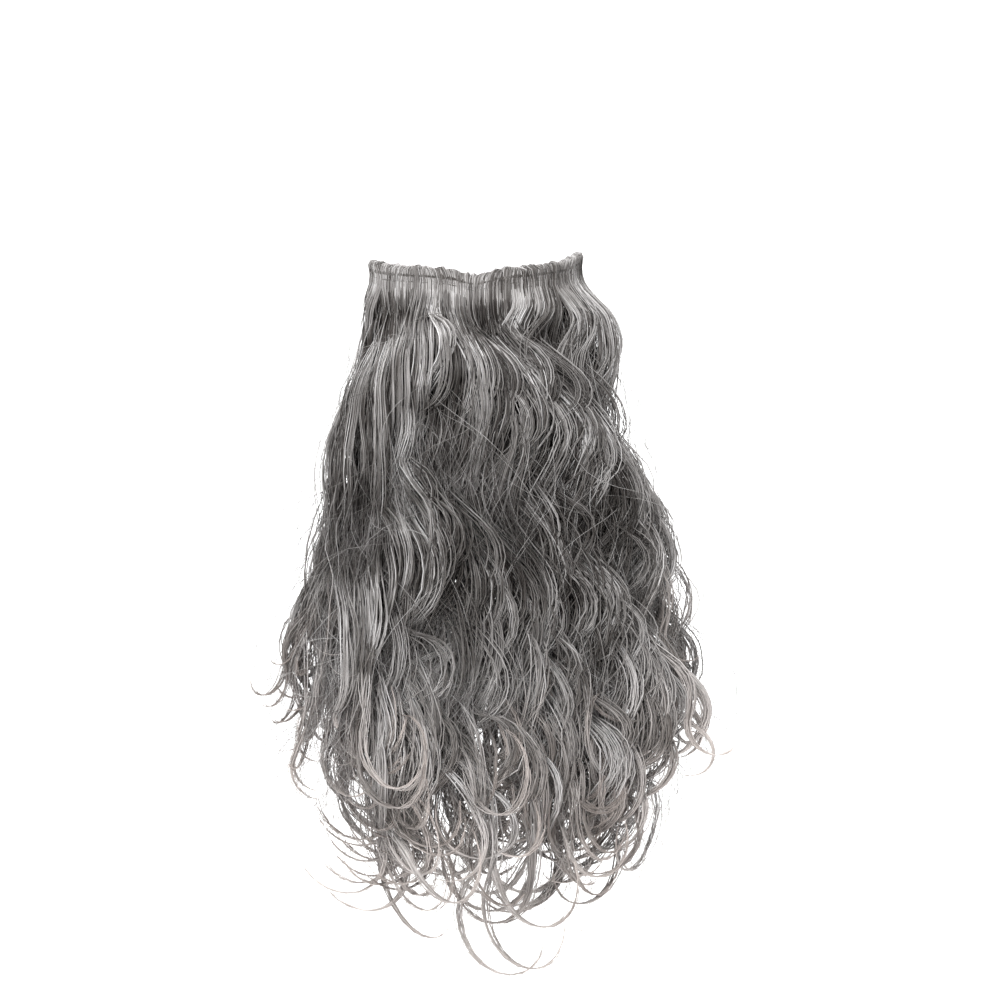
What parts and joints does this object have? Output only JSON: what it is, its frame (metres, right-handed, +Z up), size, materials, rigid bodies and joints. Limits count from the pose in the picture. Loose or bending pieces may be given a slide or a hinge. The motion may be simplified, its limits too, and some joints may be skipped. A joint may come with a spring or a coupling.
{
  "type": "long wavy fake beard",
  "caption": "Long wavy false beard and moustache in grey fibre: a curtain of curling locks hangs from a gathered header that an elastic loop holds under the nose.",
  "frame": {"origin": "the point under the nose where the inside of the header rests on the upper lip", "axes": "+Z up, towards the nose; the beard faces -Y; +X towards the wearer's left"},
  "size_m": [0.319, 0.2689, 0.5057],
  "materials": {
    "folded_hair": "hair fibre folded over the elastic, gathered and stitched",
    "elastic": "flat woven elastic",
    "hair": "wavy synthetic hair, silver and dark grey strands mixed"
  },
  "bodies": {
    "root": {"header": "folded_hair", "elastic_strap": "elastic", "hair_fall": "hair"}
  },
  "joints": []
}
